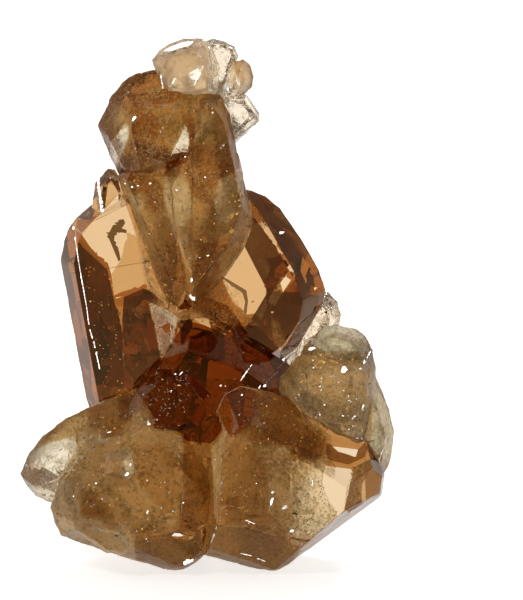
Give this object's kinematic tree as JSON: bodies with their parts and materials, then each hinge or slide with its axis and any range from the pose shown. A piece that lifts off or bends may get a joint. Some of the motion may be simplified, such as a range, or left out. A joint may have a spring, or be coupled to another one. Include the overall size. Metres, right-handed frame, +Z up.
{
  "type": "apatite crystal cluster",
  "caption": "See-through brown apatite crystals grown together into an upright cluster, with small pale crystals on top and at the side, cut off flat below so that it stands",
  "frame": {"origin": "on the ground, under the middle of the cluster's box", "axes": "+Z up along the tower; +X to the right and +Y away, seen from the side with the two feet in front"},
  "size_m": [0.0318, 0.021, 0.0445],
  "materials": {
    "brown_apatite": "clear smoky brown crystal, part polished and part frosted",
    "pale_crystal": "nearly colourless crystal with a frosted skin"
  },
  "bodies": {
    "root": {"brown_cluster": "brown_apatite", "pale_crown": "pale_crystal", "pale_side_slab": "pale_crystal", "pale_back_bud": "pale_crystal"}
  },
  "joints": []
}
